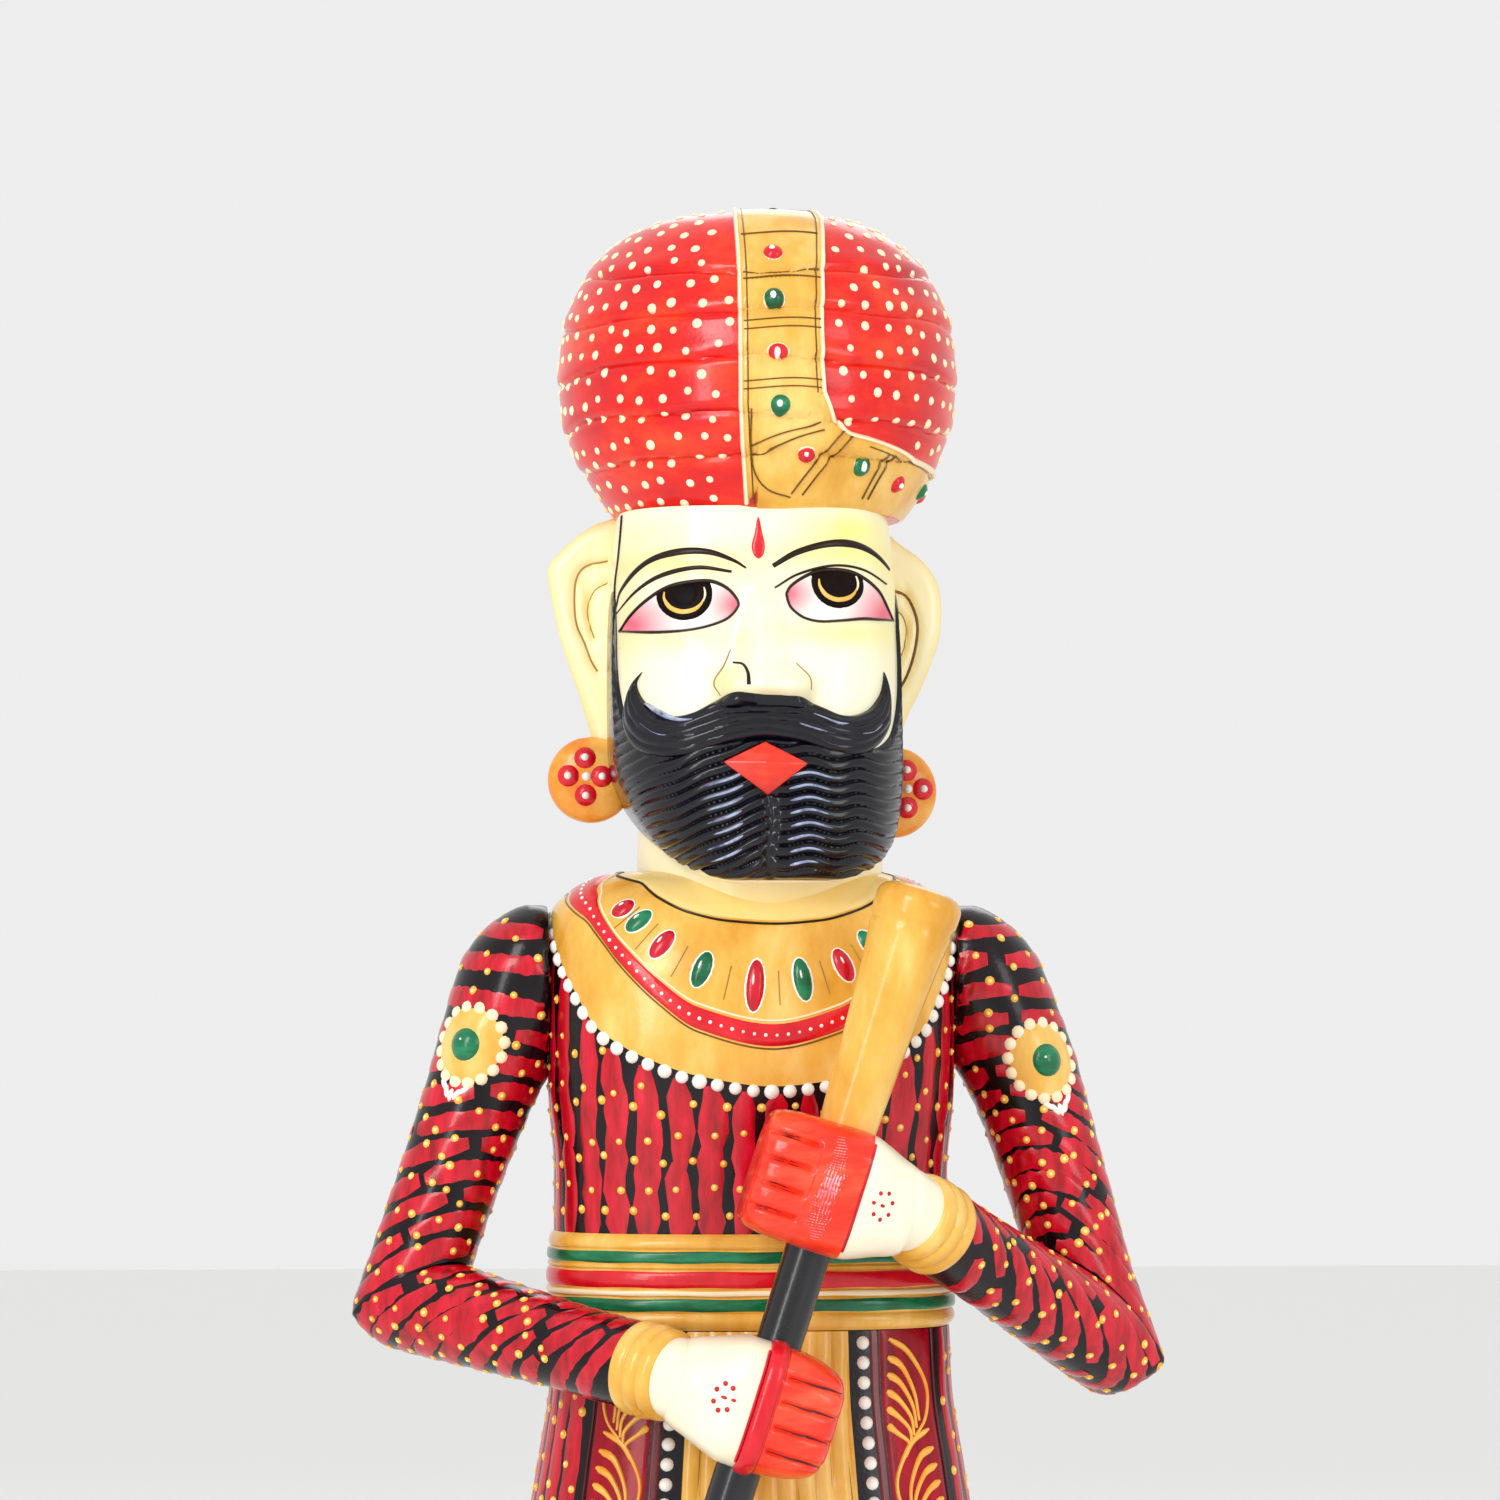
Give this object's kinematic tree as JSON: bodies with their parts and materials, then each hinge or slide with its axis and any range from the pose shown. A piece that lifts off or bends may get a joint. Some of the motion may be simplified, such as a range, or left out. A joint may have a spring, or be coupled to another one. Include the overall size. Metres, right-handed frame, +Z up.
{
  "type": "standing guard figure",
  "caption": "Carved and painted wooden folk guard figure, standing on a plinth and holding a slanting staff in both fists; head turns, arms swing, staff lifts out.",
  "frame": {"origin": "centre of the plinth's underside, on the table", "axes": "+Z up along the figure; the figure faces -Y; +X is the figure's own left"},
  "size_m": [0.2478, 0.1715, 0.61],
  "materials": {
    "plinth_wood": "dark brown stained wood with a satin varnish",
    "screw_steel": "plain steel wood screw",
    "shoe_paint": "gold and red enamel on wood, glossy",
    "trouser_paint": "cream enamel on wood, glossy",
    "coat_paint": "crimson brush strokes and yellow dots on black enamel, glossy varnish",
    "sleeve_paint": "crimson brush strokes and yellow dots on black enamel, glossy varnish",
    "belt_paint": "gold, green and red painted bands, glossy varnish",
    "gold_paint": "ochre gold enamel on wood, glossy",
    "face_paint": "cream enamel on wood, glossy",
    "turban_paint": "red orange enamel with cream dots, glossy varnish",
    "earring_paint": "orange gold enamel with red and white dots, glossy",
    "hand_paint": "cream enamel with red fingers, glossy",
    "black_lacquer": "black lacquer on a wooden dowel, high gloss",
    "bare_wood": "unpainted hardwood dowel"
  },
  "bodies": {
    "body": {"base_plinth": "plinth_wood", "base_screw_right": "screw_steel", "base_screw_left": "screw_steel", "shoe_right": "shoe_paint", "shoe_left": "shoe_paint", "leg_right": "trouser_paint", "leg_left": "trouser_paint", "coat_skirt": "coat_paint", "waist_belt": "belt_paint", "waist_dowel": "bare_wood", "torso": "coat_paint"},
    "head": {"neck": "gold_paint", "neck_dowel": "bare_wood", "head": "face_paint", "turban": "turban_paint", "turban_dowel": "bare_wood", "ear_right": "face_paint", "ear_left": "face_paint", "earring_right": "earring_paint", "earring_left": "earring_paint"},
    "right_arm": {"shoulder_dowel_right": "bare_wood", "upper_arm_right": "sleeve_paint", "elbow_dowel_right": "bare_wood", "forearm_right": "sleeve_paint", "wrist_dowel_right": "bare_wood", "fist_right": "hand_paint"},
    "left_arm": {"shoulder_dowel_left": "bare_wood", "upper_arm_left": "sleeve_paint", "elbow_dowel_left": "bare_wood", "forearm_left": "sleeve_paint", "wrist_dowel_left": "bare_wood", "fist_left": "hand_paint"},
    "staff": {"staff_shaft": "black_lacquer", "staff_head": "gold_paint"}
  },
  "joints": [
    {"name": "head_turn", "type": "hinge", "parent": "body", "child": "head", "pos_m": [0.003, 0, 0.388], "axis": [0, 0, 1], "range_deg": [-15, 15]},
    {"name": "right_arm_swing", "type": "hinge", "parent": "body", "child": "right_arm", "pos_m": [-0.068, 0, 0.376], "axis": [-1, 0, 0], "range_deg": [0, 15]},
    {"name": "left_arm_swing", "type": "hinge", "parent": "body", "child": "left_arm", "pos_m": [0.068, 0, 0.376], "axis": [-1, 0, 0], "range_deg": [0, 15]},
    {"name": "staff_slide", "type": "slide", "parent": "left_arm", "child": "staff", "axis": [0.3057, 0, 0.9521], "range_m": [0, 0.34]}
  ],
  "couplings": [
    {"joint": "left_arm_swing", "follows": "right_arm_swing", "ratio": 1}
  ]
}
